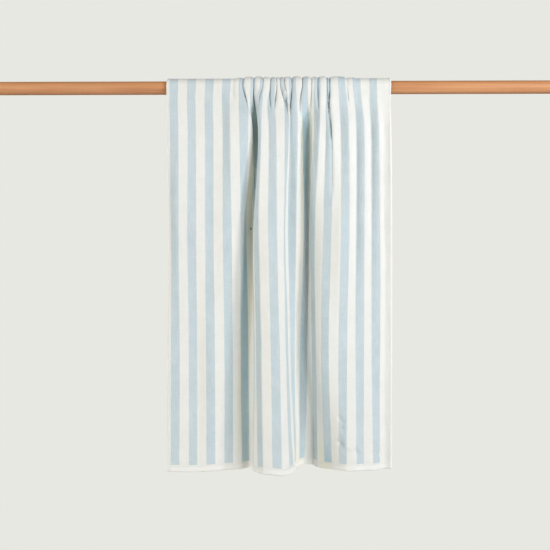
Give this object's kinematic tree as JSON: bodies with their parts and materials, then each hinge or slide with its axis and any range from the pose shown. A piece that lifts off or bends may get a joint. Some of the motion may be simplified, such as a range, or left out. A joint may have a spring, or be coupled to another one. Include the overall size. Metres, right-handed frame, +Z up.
{
  "type": "bath towel on a hanging rod",
  "caption": "Long striped terry bath towel gathered over a plain round wooden rod, with a long front drop, a short back drop and narrow sewn hems.",
  "frame": {"origin": "centre of the rod's left end face", "axes": "+X along the rod, from its left end to its right end; -Y towards the front drop, so the towel is seen looking along +Y; +Z up"},
  "size_m": [1.4, 0.1668, 0.9225],
  "materials": {
    "terry": "soft cotton terry in even pale blue and cream stripes, matt",
    "wood": "smooth oiled wood with fine lengthwise grain, satin"
  },
  "bodies": {
    "root": {"towel": "terry", "rod": "wood"}
  },
  "joints": []
}
